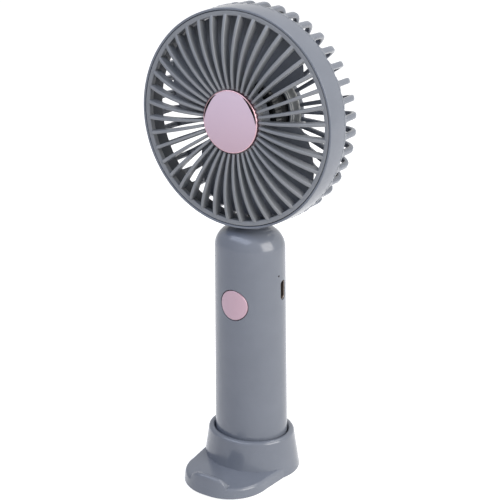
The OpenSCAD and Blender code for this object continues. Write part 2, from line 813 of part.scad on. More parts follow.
module battery_leads() {
    front_y = -cell_d / 2 - wire_d;
    start_y = front_y + wire_d / 2;
    start_x = tab_w / 3;
    pad_x = 2 * start_x;
    pad_y = board_y - wire_d;
    on_handle(black) {
        wire([
            [start_x, start_y, cell_z],
            [start_x, start_y, cell_z + wire_d],
            [pad_x, front_y, cell_z + 5 * wire_d],
            [pad_x, front_y, bulkhead_z - 3 * wire_d],
            [pad_x, start_y, bulkhead_z + carrier_t],
            [pad_x, board_y - 2 * wire_d, board_z + wire_d],
            [pad_x, pad_y, board_z + 2 * wire_d],
            [pad_x, board_y, board_z + 2 * wire_d]
        ]);
        wire([
            [-start_x, start_y, cell_top + tab_t],
            [-start_x, start_y, cell_top + wire_d],
            [-pad_x, start_y + wire_d, board_z],
            [-pad_x, board_y - 2 * wire_d, board_z + wire_d],
            [-pad_x, pad_y, board_z + 2 * wire_d],
            [-pad_x, board_y, board_z + 2 * wire_d]
        ]);
    }
}

module circuit_board() {
    on_handle(green) difference() {
        translate([-board_w / 2, board_y, board_z]) cube([board_w, board_t, board_len]);
        for (side = [-1, 1], z = post_zs)
            translate([side * post_x, 0, z]) rod_back(screw_d / 2 + screw_gap, board_y - 1, 1);
    }
}

// Charging chip, coil and capacitor on the back of the board
module board_components() {
    on_handle(black) translate([0, -board_front, 0]) {
        translate([-5, 0, usb_z - 5]) cube([5, 1.5, 4]);
        translate([-3, 0, usb_z + 4]) rod_back(2.8, 0, 3);
        translate([1, 0, usb_z + 8]) cube([2, 1.2, 3.2]);
    }
}

module board_screws() {
    on_handle(steel) for (side = [-1, 1], z = post_zs)
        translate([side * post_x, board_y - screw_head_h, z]) rotate([-90, 0, 0])
            screw(screw_head_d / 2, screw_head_h, screw_d / 2, spine_back - carrier_t - board_y);
}

module tact_switch() {
    on_handle(black) difference() {
        translate([-switch_w / 2, switch_y, button_z - switch_w / 2]) cube([switch_w, switch_h, switch_w]);
        translate([0, 0, button_z])
            rod_back(stem_d / 2 + stem_gap, switch_y - 1, switch_y + stem_in + button_travel + 2 * stem_gap);
    }
}

module switch_stem() {
    on_handle("#e5e2da") translate([0, 0, button_z]) rod_back(stem_d / 2, stem_y, switch_y + stem_in);
}

module power_button() {
    on_handle(pink) intersection() {
        translate([0, 0, button_z]) rotate([-90, 0, 0]) rotate_extrude() polygon([
            [0, -handle_d],
            [button_d / 2, -handle_d],
            [button_d / 2, flange_y],
            [flange_r, flange_y],
            [flange_r, flange_y + flange_t],
            [plunger_d / 2, flange_y + flange_t],
            [plunger_d / 2, stem_y],
            [0, stem_y]
        ]);
        oval() handle_profile(-button_proud);
    }
}

module usb_socket() {
    back_x = usb_mouth_x - usb_depth;
    on_handle(steel) difference() {
        usb_slot(0, back_x, usb_mouth_x);
        usb_slot(-usb_wall, back_x + usb_wall, usb_mouth_x + 1);
    }
}

module usb_tongue() {
    back_x = usb_mouth_x - usb_depth + usb_wall;
    on_handle(black) translate([back_x, usb_y - usb_wall, usb_z - usb_w / 2 + usb_t / 2])
        cube([usb_depth - 4 * usb_wall, 2 * usb_wall, usb_w - usb_t]);
}

module charge_led() {
    on_handle("#f0ede2") translate([board_w / 2 - pipe_d, board_y - pipe_d, led_z - pipe_d / 2])
        cube([pipe_d, pipe_d, pipe_d]);
}

module light_pipe() {
    on_handle("#dfe6ea") intersection() {
        translate([0, pipe_y, led_z]) rod_right(pipe_d / 2, board_w / 2, handle_w);
        oval() handle_profile(0);
    }
}

module handle_end_cap() {
    on_handle(grey) difference() {
        union() {
            oval() polygon([
                [0, handle_z],
                [handle_r(handle_z), handle_z],
                [handle_r(tube_z), tube_z],
                [0, tube_z]
            ]);
            translate([0, 0, tube_z - bite]) oval_rod(inner_r(tube_z + end_plug) - fit_gap, end_plug + bite);
        }
        for (side = [-1, 1]) translate([side * end_screw_x, 0, handle_z - 1])
            screw(screw_head_d / 2 + screw_gap, 1 + head_sink + screw_head_h,
                screw_d / 2 + screw_gap, end_plate_t + end_plug);
    }
}

module end_cap_screws() {
    on_handle(steel) for (side = [-1, 1]) translate([side * end_screw_x, 0, handle_z + head_sink])
        screw(screw_head_d / 2, screw_head_h, screw_d / 2, end_screw_len);
}

// Plan of the foot in front of the handle axis, drawn in by an even margin
module foot_plan(margin) {
    w0 = foot_w / 2 - margin;
    w1 = foot_front_w / 2 - margin;
    cx = foot_front_w / 2 - foot_corner_r;
    polygon([[-w0, 0], [w0, 0], [w1, foot_corner_y], [-w1, foot_corner_y]]);
    for (side = [-1, 1]) translate([side * cx, foot_corner_y]) circle(r = foot_corner_r - margin);
    translate([-cx, -foot_reach + margin]) square([2 * cx, foot_reach - margin]);
}

module lip() {
    top = lip_h + foot_h / 2;
    intersection() {
        translate([0, 0, foot_z - foot_h / 2]) linear_extrude(height = top) foot_plan(0);
        translate([0, -foot_reach + lip_t, lip_z]) rotate([90, 0, 0]) linear_extrude(height = lip_t + 1) {
            translate([-lip_w / 2, -top]) square([lip_w, top - lip_corner_r]);
            translate([-lip_w / 2 + lip_corner_r, -top]) square([lip_w - 2 * lip_corner_r, top]);
            for (side = [-1, 1])
                translate([side * (lip_w / 2 - lip_corner_r), -lip_corner_r]) circle(r = lip_corner_r);
        }
    }
}

module collar() {
    round_r = collar_wall / 2;
    oval(collar_flat) {
        polygon([
            [0, pad_h],
            [collar_base_r, pad_h],
            [collar_r, collar_z - round_r],
            [collar_r - collar_wall, collar_z - round_r],
            [0, foot_z]
        ]);
        translate([collar_r - round_r, collar_z - round_r]) circle(r = round_r);
    }
}

module dock_hollow(z0, z1, margin) {
    translate([0, 0, z0]) linear_extrude(height = z1 - z0) foot_plan(margin);
    translate([0, 0, z0]) oval_rod(collar_base_r - collar_flare / 2 - margin, z1 - z0, collar_flat);
}

module dock_body() {
    on_handle(grey) difference() {
        union() {
            translate([0, 0, pad_h]) linear_extrude(height = foot_h) foot_plan(0);
            collar();
            lip();
        }
        translate([0, 0, handle_z]) oval_rod(socket_r, socket_depth + 1);
        dock_hollow(pad_h - 1, ceiling_z, plate_edge);
    }
}

module dock_plate() {
    on_handle(dark_grey) dock_hollow(plate_z, plate_z + plate_t, plate_edge + plate_gap);
}

module dock_pads() {
    side_x = foot_w / 2 - plate_edge - pad_d / 2 - 2;
    front_y = foot_corner_y - side_x / 2;
    spots = [[-side_x, 0], [side_x, 0], [-side_x / 2, front_y], [side_x / 2, front_y]];
    on_handle(black) for (p = spots) translate(p) cylinder(d = pad_d, h = pad_h);
}

rear_cage();
front_grille();
centre_cap();
impeller();
motor_shaft();
armature();
commutator();
motor_can();
magnet_ring();
motor_end_cap();
motor_brushes();
motor_bushes();
motor_leads();
neck_nut();
handle_body();
inner_carrier();
battery_cell();
battery_tabs();
battery_leads();
circuit_board();
board_components();
board_screws();
tact_switch();
switch_stem();
power_button();
usb_socket();
usb_tongue();
charge_led();
light_pipe();
handle_end_cap();
end_cap_screws();
dock_body();
dock_plate();
dock_pads();
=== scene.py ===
import json
import math

import bmesh
import bpy
from mathutils import Matrix, Vector
from mathutils.bvhtree import BVHTree
from mathutils.interpolate import poly_3d_calc


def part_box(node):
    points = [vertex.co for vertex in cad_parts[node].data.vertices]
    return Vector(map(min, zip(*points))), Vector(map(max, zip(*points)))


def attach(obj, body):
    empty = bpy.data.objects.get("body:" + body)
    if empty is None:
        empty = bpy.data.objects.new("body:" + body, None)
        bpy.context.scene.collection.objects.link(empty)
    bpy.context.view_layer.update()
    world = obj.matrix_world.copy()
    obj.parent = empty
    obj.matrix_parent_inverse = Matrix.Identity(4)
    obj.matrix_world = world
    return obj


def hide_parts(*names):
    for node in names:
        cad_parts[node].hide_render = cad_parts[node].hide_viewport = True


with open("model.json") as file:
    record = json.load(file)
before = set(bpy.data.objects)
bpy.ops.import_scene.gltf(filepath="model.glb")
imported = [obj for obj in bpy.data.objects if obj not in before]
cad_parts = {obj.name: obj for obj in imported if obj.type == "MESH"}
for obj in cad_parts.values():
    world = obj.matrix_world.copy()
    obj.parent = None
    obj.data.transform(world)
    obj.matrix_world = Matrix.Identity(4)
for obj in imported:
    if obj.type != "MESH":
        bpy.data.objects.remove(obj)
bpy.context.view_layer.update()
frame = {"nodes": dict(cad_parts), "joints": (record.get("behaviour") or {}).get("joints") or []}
nodes = frame["nodes"]
mm = 0.001
pinR = 0.01  # radius in millimetres at which a turned outline ends near its axis
print("frame loaded: %d nodes" % len(nodes))

# Places that the frame gives: the fan axis, the upright axis of the handle and the main sizes of the head
spin = next(j for j in frame["joints"] if j["name"] == "impeller_spin")
fanAxis = Vector(spin["pos_m"])
handleLow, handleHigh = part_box("handle_body")
axisY = (handleLow.y + handleHigh.y) / 2
cageLow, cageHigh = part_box("rear_cage")
rimA = (fanAxis.y - cageLow.y) / mm  # front rim, forward of the handle axis
hubBackA = (fanAxis.y - cageHigh.y) / mm
bandR = cageHigh.x / mm
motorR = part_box("motor_can")[1].x / mm


# Millimetres about the fan axis: out along a spoke, forward of the handle axis and across the spoke
def spokePoint(angle, r, a, u=0.0):
    x = r * math.cos(angle) - u * math.sin(angle)
    z = r * math.sin(angle) + u * math.cos(angle)
    return Vector((fanAxis.x + x * mm, fanAxis.y - a * mm, fanAxis.z + z * mm))


# Millimetres about the handle axis, with z above the table
def standPoint(x, y, z):
    return Vector((x * mm, axisY + y * mm, z * mm))


# Even angles over a quarter turn, both ends included unless first is 1
def quarter(steps, first=0):
    return [math.pi / 2 * k / steps for k in range(first, steps + 1)]


# Even angles over a full turn
def fullTurn(steps):
    return [2 * math.pi * k / steps for k in range(steps)]


# Camera: angles in degrees, lengths in millimetres, clip in metres and the lens in pixels of the frame
view = dict(azimuth=32.676, elevation=19.112, roll=-0.4507, distance=561.64, aimZ=111.27,
            focalPixels=1200, framePixels=500, sensor=36, clip=(0.01, 50))


def placeCamera():
    az, el, roll = (math.radians(view[k]) for k in ("azimuth", "elevation", "roll"))
    out = Vector((math.sin(az) * math.cos(el), -math.cos(az) * math.cos(el), math.sin(el)))
    right = Vector((math.cos(az), math.sin(az), 0))
    up = out.cross(right)
    turn = Matrix((right * math.cos(roll) + up * math.sin(roll),
                   up * math.cos(roll) - right * math.sin(roll), out)).transposed().to_4x4()
    data = bpy.data.cameras.new("photoCamera")
    data.sensor_fit = "HORIZONTAL"
    data.sensor_width = view["sensor"]
    data.lens = view["focalPixels"] / view["framePixels"] * view["sensor"]
    data.clip_start, data.clip_end = view["clip"]
    camera = bpy.data.objects.new("photoCamera", data)
    spot = standPoint(0, 0, view["aimZ"]) + out * view["distance"] * mm
    camera.matrix_world = Matrix.Translation(spot) @ turn
    bpy.context.scene.collection.objects.link(camera)
    bpy.context.scene.camera = camera


placeCamera()
print("camera placed")


# sRGB hex to the linear colour that shaders take
def linear(hexCode):
    parts = [int(hexCode[i:i + 2], 16) / 255 for i in (1, 3, 5)]
    return [p / 12.92 if p <= 0.04045 else ((p + 0.055) / 1.055) ** 2.4 for p in parts] + [1.0]


def addNode(tree, kind, inputs=None, links=None, **settings):
    node = tree.nodes.new(kind)
    for name, value in settings.items():
        setattr(node, name, value)
    for name, value in (inputs or {}).items():
        node.inputs[name].default_value = value
    for name, source in (links or {}).items():
        tree.links.new(source, node.inputs[name])
    return node


# Noise scale for spots of a real size, because object coordinates are in metres
def spots(sizeMm):
    return 1 / (sizeMm * mm)


# Common to all finishes: where the two colours begin and end, detail of the noise, strength of the grain
finishBase = dict(rampLow=0.3, rampHigh=0.7, patchDetail=3.0, grainDetail=2.0, bump=0.35)


# One finish: two close colours, in soft patches or rising between two heights in millimetres, with a
# roughness that wanders a little and a fine grain
def makeFinish(name, tones, roughness, ior=1.5, metallic=0.0, patchMm=14, grainMm=0.6, grainDepth=0.02,
               coat=0.0, coatRoughness=0.1, sheen=0.0, paintedRise=None):
    g = finishBase
    material = bpy.data.materials.new(name)
    material.use_nodes = True
    tree = material.node_tree
    tree.nodes.clear()
    place = addNode(tree, "ShaderNodeTexCoord").outputs["Object"]
    # A rise by height is painted light: the colour turns higher up as light from above would turn it
    if paintedRise:
        height = addNode(tree, "ShaderNodeSeparateXYZ", links={"Vector": place}).outputs["Z"]
        span = {"From Min": paintedRise[0] * mm, "From Max": paintedRise[1] * mm,
                "To Min": g["rampLow"], "To Max": g["rampHigh"]}
        share = addNode(tree, "ShaderNodeMapRange", span, {"Value": height}).outputs["Result"]
    else:
        patch = {"Scale": spots(patchMm), "Detail": g["patchDetail"]}
        share = addNode(tree, "ShaderNodeTexNoise", patch, {"Vector": place}).outputs["Fac"]
    colour = addNode(tree, "ShaderNodeValToRGB", links={"Fac": share})
    for k, position in enumerate((g["rampLow"], g["rampHigh"])):
        colour.color_ramp.elements[k].position = position
        colour.color_ramp.elements[k].color = linear(tones[k])
    speckle = {"Scale": spots(grainMm), "Detail": g["grainDetail"]}
    grain = addNode(tree, "ShaderNodeTexNoise", speckle, {"Vector": place}).outputs["Fac"]
    wander = {"To Min": roughness[0], "To Max": roughness[1]}
    rough = addNode(tree, "ShaderNodeMapRange", wander, {"Value": grain})
    relief = {"Strength": g["bump"], "Distance": grainDepth * mm}
    bump = addNode(tree, "ShaderNodeBump", relief, {"Height": grain})
    shader = addNode(tree, "ShaderNodeBsdfPrincipled",
                     {"Metallic": metallic, "Coat Weight": coat, "Coat Roughness": coatRoughness,
                      "Sheen Weight": sheen},
                     {"Base Color": colour.outputs["Color"], "Roughness": rough.outputs["Result"],
                      "Normal": bump.outputs["Normal"]})
    if metallic == 0:
        shader.inputs["IOR"].default_value = ior
    addNode(tree, "ShaderNodeOutputMaterial", links={"Surface": shader.outputs["BSDF"]})
    return material


# Satin moulded ABS: cool grey, soft highlights, a faint grain from the spark-eroded mould
satinMould = dict(ior=1.54, grainMm=0.5, grainDepth=0.008)
greyAbs = makeFinish("mouldedGreyAbs", ("#777d88", "#7c828d"), (0.15, 0.2), **satinMould)
# A lighter copy of the same ABS for the front fins and bezel: painted light, for the light that falls on the
# front of the head
litGreyAbs = makeFinish("paintedLitGreyAbs", ("#8a8d91", "#8f9296"), (0.3, 0.38), **satinMould)
# Painted light on the motor's seat ring: a pale copy of the ABS for its front faces, where the light falls,
# and a little shiny
seatHighlightAbs = makeFinish("paintedLitSeatAbs", ("#bfc2c2", "#c6c9c9"), (0.2, 0.28), **satinMould)
# A darker copy of the same ABS for the impeller and inner mouldings: painted shade, for parts that sit in
# shade
shadedGreyAbs = makeFinish("paintedShadeGreyAbs", ("#6d727b", "#737882"), (0.38, 0.48), ior=1.54)
# Painted shade on the duct wall: a dull, dark copy of the ABS for its inward faces, dark in the depth of the
# head
ductShadeAbs = makeFinish("paintedShadeDuctAbs", ("#50555d", "#555a62"), (0.45, 0.55), ior=1.54, grainMm=0.5)
# Pearl lacquer on ABS: pink with a soft metallic glow. It turns to lavender up the cap as a painted
# reflection of cool light from above
pearlLightRise = (fanAxis.z / mm - 18, fanAxis.z / mm + 12)
pearlPink = makeFinish("pearlPinkLacquer", ("#c6a6b3", "#dfc8da"), (0.28, 0.34), metallic=0.25,
                       grainMm=0.3, grainDepth=0.004, coat=0.3, coatRoughness=0.22, paintedRise=pearlLightRise)
# Vacuum plated trim: dusky rose gold, nearly a mirror
roseGold = makeFinish("roseGoldPlating", ("#bf9aa2", "#c8a4ac"), (0.12, 0.18), metallic=1.0,
                      grainDepth=0.002)
# Black enamel on the deep-drawn motor can, glossy enough for narrow streaks of light
blackEnamel = makeFinish("blackEnamel", ("#0d0e0f", "#141516"), (0.22, 0.3), ior=1.52, coat=0.3)
# Black glass-filled nylon: dull and slightly speckled
blackNylon = makeFinish("blackNylon", ("#17181a", "#202124"), (0.5, 0.62), ior=1.53, grainMm=0.8)
# Tinned steel of the socket: dull and brownish
tinnedSteel = makeFinish("tinnedSteel", ("#8f8680", "#998f89"), (0.4, 0.55), metallic=1.0, grainMm=0.4)
# Nickel plated steel, rolled, with a brushed shimmer
nickelSteel = makeFinish("nickelSteel", ("#b4b7bb", "#c3c6ca"), (0.22, 0.34), metallic=1.0, grainMm=0.4)
# Turned copper: warm, with a soft metal shine
copper = makeFinish("turnedCopper", ("#b0724a", "#c08458"), (0.25, 0.4), metallic=1.0, grainMm=0.4)
# Sintered bronze: porous and dull
bronze = makeFinish("sinteredBronze", ("#a5854a", "#b59557"), (0.4, 0.55), metallic=1.0, grainMm=0.3,
                    grainDepth=0.03)
# Ferrite: dark grey, ground, a little sparkle
ferrite = makeFinish("groundFerrite", ("#2b2c2e", "#363739"), (0.45, 0.6), ior=1.8, grainMm=0.4)
# Solder mask over glass cloth: deep green with a shine
solderMask = makeFinish("greenSolderMask", ("#235a3a", "#2c6845"), (0.25, 0.34), ior=1.55, patchMm=4)
# Shrunk PVC sleeve of the cell: sea green and glossy
shrinkSleeve = makeFinish("shrinkSleeve", ("#3a7584", "#427f8e"), (0.25, 0.35), ior=1.53)
# Soft silicone pads: matte, slightly dusty
siliconeRubber = makeFinish("siliconeRubber", ("#1b1c1e", "#26272a"), (0.65, 0.8), ior=1.43, sheen=0.2)
# Smoked polycarbonate light pipe: reads as a dark dot when it is off
smokedPc = makeFinish("smokedPolycarbonate", ("#141516", "#1c1e20"), (0.2, 0.3), ior=1.585)
# Ivory acetal of the switch stem and the lamp's resin: creamy and waxy
ivoryAcetal = makeFinish("ivoryAcetal", ("#ddd9cf", "#e8e5dc"), (0.35, 0.45), ior=1.48)
print("materials made")


# Rings of points to one closed shell
def loft(rings, loop=False):
    count = len(rings[0])
    points = [p for ring in rings for p in ring]
    spans = len(rings) if loop else len(rings) - 1
    faces = []
    for i in range(spans):
        here, there = i * count, (i + 1) % len(rings) * count
        for k in range(count):
            n = (k + 1) % count
            faces.append((here + k, here + n, there + n, there + k))
    if not loop:
        faces.append(tuple(range(count - 1, -1, -1)))
        faces.append(tuple(range(len(points) - count, len(points))))
    return points, faces


# Several shells as one
def gather(shells):
    points, faces = [], []
    for shellPoints, shellFaces in shells:
        base = len(points)
        points += shellPoints
        faces += [tuple(base + k for k in face) for face in shellFaces]
    return points, faces


# A closed outline with every corner rounded, over no more than the room share of a side
def rounded(outline, radius, steps=4, room=0.48):
    result = []
    count = len(outline)
    for i, corner in enumerate(outline):
        here = Vector(corner)
        back = Vector(outline[i - 1]) - here
        ahead = Vector(outline[(i + 1) % count]) - here
        half = back.angle(ahead) / 2
        reach = min(radius / math.tan(half), room * back.length, room * ahead.length)
        start, end = here + back.normalized() * reach, here + ahead.normalized() * reach
        for k in range(steps + 1):
            t = k / steps
            result.append(start * (1 - t) ** 2 + here * 2 * t * (1 - t) + end * t ** 2)
    return result


# An outline of radius and station turned about the fan axis, all round or over part of a turn
def turned(outline, steps=160, start=0.0, sweep=360.0):
    whole = sweep >= 360
    rings = []
    for i in range(steps if whole else steps + 1):
        angle = math.radians(start + sweep * i / steps)
        rings.append([spokePoint(angle, r, a) for r, a in outline])
    return loft(rings, loop=whole)


# Points closer than this, in metres, are joined. Faces that meet more sharply than this keep their edge
mergeGap = 1e-7
creaseAngle = math.radians(38)


def makeMesh(name, shell):
    mesh = bpy.data.meshes.new(name)
    mesh.from_pydata([tuple(p) for p in shell[0]], [], shell[1])
    work = bmesh.new()
    work.from_mesh(mesh)
    bmesh.ops.remove_doubles(work, verts=work.verts, dist=mergeGap)
    bmesh.ops.recalc_face_normals(work, faces=work.faces)
    work.to_mesh(mesh)
    work.free()
    return mesh


def addPiece(name, shell, material, body, replaced):
    mesh = makeMesh(name, shell)
    mesh.shade_smooth()
    mesh.set_sharp_from_angle(angle=creaseAngle)
    mesh.materials.append(material)
    piece = bpy.data.objects.new(name, mesh)
    bpy.context.scene.collection.objects.link(piece)
    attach(piece, body)
    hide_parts(replaced)
    return piece


# Cut, or join with, another shell
def combine(piece, shell, operation):
    other = bpy.data.objects.new("other", makeMesh("other", shell))
    bpy.context.scene.collection.objects.link(other)
    change = piece.modifiers.new("change", "BOOLEAN")
    change.object = other
    change.operation = operation
    change.solver = "EXACT"
    bpy.context.view_layer.update()
    done = bpy.data.meshes.new_from_object(piece.evaluated_get(bpy.context.evaluated_depsgraph_get()))
    piece.modifiers.clear()
    piece.data = done
    bpy.data.objects.remove(other)


# Triangles of a shell, split at its crisp edges, with the smooth normals of their corners
def smoothSource(shell):
    work = bmesh.new()
    work.from_mesh(makeMesh("source", shell))
    bmesh.ops.triangulate(work, faces=work.faces)
    crisp = [e for e in work.edges if len(e.link_faces) == 2 and e.calc_face_angle(0) > creaseAngle]
    bmesh.ops.split_edges(work, edges=crisp)
    work.verts.ensure_lookup_table()
    work.normal_update()
    points = [v.co.copy() for v in work.verts]
    normals = [v.normal.copy() for v in work.verts]
    faces = [[v.index for v in f.verts] for f in work.faces]
    work.free()
    return BVHTree.FromPolygons(points, faces), points, normals, faces


# After cuts and joins, each face takes back the smooth normals of the shell that it came from. A corner is
# looked up a little inside its face, within the near distance in metres, and the normals must be alike
def keepNormals(piece, shells, near=2e-5, inward=0.02, alike=0.8):
    sources = [smoothSource(shell) for shell in shells]
    mesh = piece.data
    mesh.shade_smooth()
    custom = []
    for face in mesh.polygons:
        for k in face.vertices:
            inside = mesh.vertices[k].co.lerp(face.center, inward)
            normal = face.normal
            for tree, points, normals, faces in sources:
                hit, _, index, _ = tree.find_nearest(inside, near)
                if hit is None:
                    continue
                weights = poly_3d_calc([points[i] for i in faces[index]], hit)
                mixed = sum((normals[i] * w for i, w in zip(faces[index], weights)), Vector())
                if mixed.length > 0 and mixed.normalized().dot(face.normal) > alike:
                    normal = mixed.normalized()
                    break
            custom.append(normal)
    mesh.normals_split_custom_set(custom)


# Front grille: bezel, boss behind the cap, and bowed fins with softened edges. The front edge of a fin
# runs through start, crown and end, each a radius and a station
grille = dict(bezelR=48.25, bezelIn=46.05, bezelDepth=3.2, dropOut=0.1, dropIn=0.35, bezelRound=0.45,
              bossR=15.2, bossIn=4.15, bossBack=rimA - 2.4, bossFront=rimA + 0.58, bossRound=0.5,
              ribs=40, start=(14.65, rimA + 1.9), crown=(30.2, rimA + 4.0), end=(47.4, rimA - 0.5),
              widthIn=1.2, widthOut=1.9, backShare=0.8, edge=0.4, depth=4.2, tipRound=1.0, tipEnd=-0.1,
              domeSteps=14, tipSteps=6, edgeSteps=4)
ribAngles = [(i + 0.5) * 360 / grille["ribs"] for i in range(grille["ribs"])]


def circleThrough(p, q, s):
    d = 2 * (p[0] * (q[1] - s[1]) + q[0] * (s[1] - p[1]) + s[0] * (p[1] - q[1]))
    a, b, c = (v[0] ** 2 + v[1] ** 2 for v in (p, q, s))
    x = (a * (q[1] - s[1]) + b * (s[1] - p[1]) + c * (p[1] - q[1])) / d
    y = (a * (s[0] - q[0]) + b * (p[0] - s[0]) + c * (q[0] - p[0])) / d
    return (x, y), math.hypot(p[0] - x, p[1] - y)


def onCircle(middle, radius, angle):
    return middle[0] + radius * math.cos(angle), middle[1] + radius * math.sin(angle)


def frontRib(angle):
    g = grille
    middle, radius = circleThrough(g["start"], g["crown"], g["end"])
    first, last = (math.atan2(p[1] - middle[1], p[0] - middle[0]) for p in (g["start"], g["end"]))
    # The front edge follows the dome, then turns back over a small round at the bezel
    turnAt = last + g["tipRound"] / radius
    tip = onCircle(middle, radius - g["tipRound"], turnAt)
    dome = [first + (turnAt - first) * k / g["domeSteps"] for k in range(g["domeSteps"] + 1)]
    over = [turnAt + (g["tipEnd"] - turnAt) * k / g["tipSteps"] for k in range(1, g["tipSteps"] + 1)]
    path = [(onCircle(middle, radius, t), t) for t in dome]
    path += [(onCircle(tip, g["tipRound"], t), t) for t in over]
    rings = []
    for i, ((r, a), facing) in enumerate(path):
        share = i / (len(path) - 1)
        half = (g["widthIn"] + (g["widthOut"] - g["widthIn"]) * share) / 2
        corner = [(g["edge"] * (1 - math.sin(t)), half - g["edge"] * (1 - math.cos(t)))
                  for t in quarter(g["edgeSteps"])]
        ring = [spokePoint(angle, r - math.cos(facing) * sink, a - math.sin(facing) * sink, u)
                for sink, u in corner + [(sink, -u) for sink, u in corner[::-1]]]
        backR, backA = onCircle(middle, radius - g["depth"], first + (last - first) * share)
        ring += [spokePoint(angle, backR, backA, side * half * g["backShare"]) for side in (-1, 1)]
        rings.append(ring)
    return loft(rings)


def makeFrontGrille():
    g = grille
    back = rimA - g["bezelDepth"]
    bezel = [(g["bezelIn"], back), (g["bezelR"], back), (g["bezelR"], rimA - g["dropOut"]),
             (g["bezelIn"], rimA - g["dropIn"])]
    boss = [(g["bossIn"], g["bossBack"]), (g["bossR"], g["bossBack"]), (g["bossR"], g["bossFront"]),
            (g["bossIn"], g["bossFront"])]
    shells = [turned(rounded(bezel, g["bezelRound"])), turned(rounded(boss, g["bossRound"]), steps=96)]
    shells += [frontRib(math.radians(turn)) for turn in ribAngles]
    # The grille takes the lighter copy of the ABS, as painted light
    addPiece("frontGrille", gather(shells), litGreyAbs, "fan", "front_grille")


makeFrontGrille()
print("front grille made")

# Rear cage: band, looped ribs, hub with the motor cup, solid sector and neck
cage = dict(frontR=49.5, ductR=47.1, lip=1.0, bandBack=rimA - 11.8, bandRound=0.35, rear=hubBackA + 1.2,
            cornerR=6.5, ribThick=2.5, ribWide=2.7, ribNarrow=1.7, ribRound=0.95, roundShare=0.9,
            slotRound=2.1, bandLap=0.8, hubLap=0.6, hubR=20.8, hubRound=0.9, seatLift=0.4,
            grooveIn=17.4, grooveOut=18.4, grooveSlope=0.2, grooveDeep=0.35,
            cupR=motorR + 1.7, cupIn=motorR + 0.05, cupFront=hubBackA + 5.9, cupFloor=hubBackA + 1.7,
            sectorAt=270, sector=18, sectorLap=0.4,
            neckWide=7.0, neckDeep=5.9, neckLap=1.6, neckGrow=0.22, growFrom=0.4,
            litSeatMargin=0.5, shadeDuctMargin=0.4, facing=0.5)


# A point of the round corner at the back of the ribs, at a radius about the corner's middle
def cornerPoint(radius, turn):
    middle = bandR - cage["cornerR"], cage["rear"] + cage["cornerR"]
    return onCircle(middle, radius, -turn)


def rearRib(angle):
    g = cage
    thick, slot = g["ribThick"], g["slotRound"]
    mid = bandR - thick / 2
    # Middle line from the band round the corner to the hub, with the turn of each place
    path = [((mid, g["bandBack"] + g["bandLap"]), 0)]
    path += [((mid, g["bandBack"] - slot * k / 8), 0) for k in range(9)]
    path += [(cornerPoint(g["cornerR"] - thick / 2, b), b) for b in quarter(8)]
    bendR, hubEnd = bandR - g["cornerR"], g["hubR"] - g["hubLap"]
    path += [((bendR + (hubEnd - bendR) * k / 6, g["rear"] + thick / 2), math.pi / 2) for k in range(1, 7)]
    rings = []
    for (r, a), turn in path:
        # Near the band the rib spreads, so that the slots end round
        near = min(slot, max(0, slot - (g["bandBack"] - a)))
        spread = slot - math.sqrt(slot ** 2 - near ** 2)
        share = min(1, max(0, (r - g["hubR"]) / (mid - g["hubR"])))
        half = (g["ribNarrow"] + (g["ribWide"] - g["ribNarrow"]) * share) / 2 + spread
        box = [(-half, -thick / 2), (half, -thick / 2), (half, thick / 2), (-half, thick / 2)]
        section = rounded(box, min(g["ribRound"], half * g["roundShare"]), steps=3)
        out, forward = math.cos(turn), -math.sin(turn)
        rings.append([spokePoint(angle, r + v * out, a + v * forward, u) for u, v in section])
    return loft(rings)


# An oval post that spreads a little where it meets the band
def neckShell():
    g = cage
    low = handleHigh.z / mm
    high = fanAxis.z / mm - bandR + g["neckLap"]
    rings = []
    for share in (k / 8 for k in range(9)):
        grow = 1 + g["neckGrow"] * max(0, share - g["growFrom"]) ** 2
        rings.append([standPoint(g["neckWide"] * grow * math.cos(t), g["neckDeep"] * grow * math.sin(t),
                                 low + (high - low) * share) for t in fullTurn(48)])
    return loft(rings)


# Painted light and shade on the cage: the front faces of the seat ring round the motor take a pale copy of
# the ABS as painted light, and the inward faces of the duct wall a dark one as painted shade
def paintCageLightAndShade(piece):
    g = cage
    piece.data.materials.append(seatHighlightAbs)
    piece.data.materials.append(ductShadeAbs)
    for face in piece.data.polygons:
        spot = (face.center - fanAxis) / mm
        r = math.hypot(spot.x, spot.z)
        inward = -(face.normal.x * spot.x + face.normal.z * spot.z)
        # Front faces of the seat ring: painted light
        if g["cupR"] - g["litSeatMargin"] < r < g["hubR"] and face.normal.y < -g["facing"]:
            face.material_index = 1
        # Inward faces of the duct wall: painted shade
        if abs(r - g["ductR"]) < g["shadeDuctMargin"] and inward > g["facing"] * r:
            face.material_index = 2


